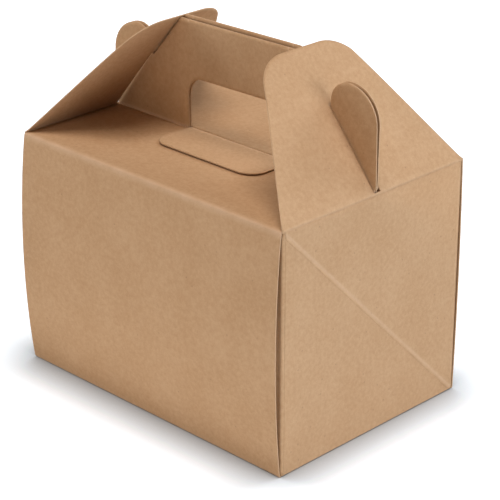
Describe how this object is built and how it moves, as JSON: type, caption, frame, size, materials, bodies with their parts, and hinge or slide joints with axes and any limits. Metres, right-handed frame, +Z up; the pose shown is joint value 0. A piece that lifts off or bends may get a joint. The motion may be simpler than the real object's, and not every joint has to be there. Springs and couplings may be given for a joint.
{
  "type": "carry box",
  "caption": "Folded kraft board carry box with a stand-up finger-hole handle, slotted end flaps locked over the handle's hooks, and a fold-out tongue.",
  "frame": {"origin": "centre of the bottom face, on the surface the box stands on", "axes": "+X to the right end wall along the handle, +Y to the rear wall, +Z up"},
  "size_m": [0.2004, 0.1477, 0.2066],
  "materials": {
    "kraft_board": "matt uncoated brown kraft board"
  },
  "bodies": {
    "carton": {"carton": "kraft_board"},
    "end_flap_right": {"end_flap_right": "kraft_board"},
    "end_flap_left": {"end_flap_left": "kraft_board"},
    "finger_tongue": {"finger_tongue": "kraft_board"}
  },
  "joints": [
    {"name": "end_flap_right_fold", "type": "hinge", "parent": "carton", "child": "end_flap_right", "pos_m": [0.1002, 0, 0.14], "axis": [0, 1, 0], "range_deg": [0, 205]},
    {"name": "end_flap_left_fold", "type": "hinge", "parent": "carton", "child": "end_flap_left", "pos_m": [-0.1002, 0, 0.14], "axis": [0, -1, 0], "range_deg": [0, 205]},
    {"name": "finger_tongue_fold", "type": "hinge", "parent": "carton", "child": "finger_tongue", "pos_m": [0, 0.00095, 0.1406], "axis": [-1, 0, 0], "range_deg": [0, 88]}
  ]
}
